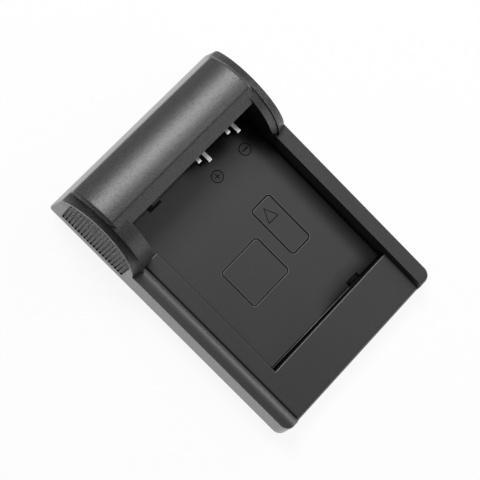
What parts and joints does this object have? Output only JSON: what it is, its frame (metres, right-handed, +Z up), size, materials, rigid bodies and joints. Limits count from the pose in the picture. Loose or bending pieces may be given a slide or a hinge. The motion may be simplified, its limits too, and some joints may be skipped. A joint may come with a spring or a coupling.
{
  "type": "battery charger plate",
  "caption": "Moulded plate that clips on a battery charger base: a shallow bay with side rails, a raised round head and spring contacts for a flat camera battery.",
  "frame": {"origin": "centre of the underside", "axes": "+X across to the negative contact's side, +Y along the plate towards the head, +Z up out of the battery bay"},
  "size_m": [0.0588, 0.084, 0.0197],
  "materials": {
    "housing_plastic": "fine-textured charcoal ABS",
    "cover_plastic": "fine-textured charcoal ABS",
    "board": "green solder mask",
    "resistor": "black chip with tinned ends",
    "screw_steel": "zinc-plated",
    "contact_nickel": "bright nickel plating",
    "pad_brass": "thin gold flash"
  },
  "bodies": {
    "root": {"upper_housing": "housing_plastic", "bottom_cover": "cover_plastic", "circuit_board": "board", "coding_resistor": "resistor", "cover_screws": "screw_steel", "positive_contact": "contact_nickel", "negative_contact": "contact_nickel", "positive_pad": "pad_brass", "coding_pad": "pad_brass", "negative_pad": "pad_brass"}
  },
  "joints": []
}
